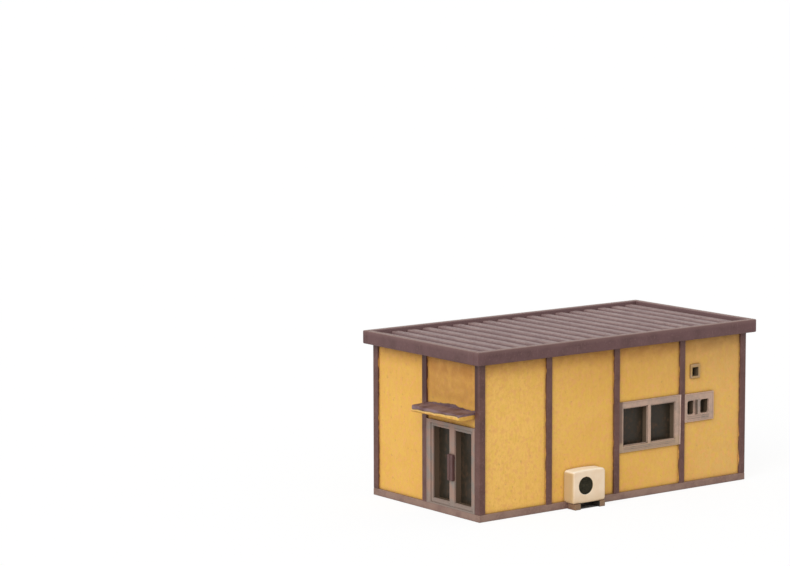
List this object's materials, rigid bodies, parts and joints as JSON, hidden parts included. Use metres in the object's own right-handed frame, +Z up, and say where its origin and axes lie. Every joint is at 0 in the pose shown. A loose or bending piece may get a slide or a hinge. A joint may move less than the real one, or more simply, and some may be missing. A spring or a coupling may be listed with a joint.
{
  "type": "model railway site cabin",
  "caption": "Small plastic scale model of a prefab site cabin: yellow panels in brown framing, flat ribbed roof, double door with canopy, windows, vent and outdoor unit.",
  "frame": {"origin": "middle of the cabin's flat underside, between its corner posts", "axes": "+X along the long sides, from the door end to the far end; -Y towards the front with the windows and the outdoor unit; +Z up"},
  "size_m": [0.0522, 0.0266, 0.0232],
  "materials": {
    "brown_plastic": "moulded brown plastic, satin",
    "brown_base": "moulded brown plastic, satin, lighter along its edges",
    "roof_plastic": "moulded grey-brown plastic, satin",
    "yellow_paint": "plastic painted a warm matt yellow",
    "grey_paint": "plastic painted a warm matt grey",
    "cream_plastic": "plastic in a matt cream",
    "dark_plastic": "plastic in a matt near-black",
    "smoked_glazing": "thin clear plastic sheet, slightly smoked"
  },
  "bodies": {
    "root": {"floor_plate": "brown_plastic", "front_base_strip": "brown_base", "rear_base_strip": "brown_base", "door_end_base_strip": "brown_base", "far_end_base_strip": "brown_base", "front_door_end_post": "brown_plastic", "front_far_end_post": "brown_plastic", "rear_door_end_post": "brown_plastic", "rear_far_end_post": "brown_plastic", "front_wall": "yellow_paint", "rear_wall": "yellow_paint", "door_end_wall": "yellow_paint", "far_end_wall": "yellow_paint", "front_batten_1": "brown_plastic", "front_batten_2": "brown_plastic", "front_batten_3": "brown_plastic", "rear_batten_1": "brown_plastic", "rear_batten_2": "brown_plastic", "rear_batten_3": "brown_plastic", "door_end_batten": "brown_plastic", "far_end_batten": "brown_plastic", "roof_deck": "roof_plastic", "front_fascia": "brown_plastic", "rear_fascia": "brown_plastic", "door_end_fascia": "brown_plastic", "far_end_fascia": "brown_plastic", "window_frame": "grey_paint", "window_glass": "smoked_glazing", "small_window_frame": "grey_paint", "small_window_glass": "smoked_glazing", "vent_frame": "grey_paint", "door_frame": "grey_paint", "door_front_leaf": "grey_paint", "door_rear_leaf": "grey_paint", "door_glass": "smoked_glazing", "door_front_handle": "brown_plastic", "door_rear_handle": "brown_plastic", "canopy": "brown_plastic", "canopy_soffit": "yellow_paint", "unit_case": "cream_plastic", "unit_fan_guard": "dark_plastic", "unit_foot_1": "brown_plastic", "unit_foot_2": "brown_plastic"}
  },
  "joints": []
}
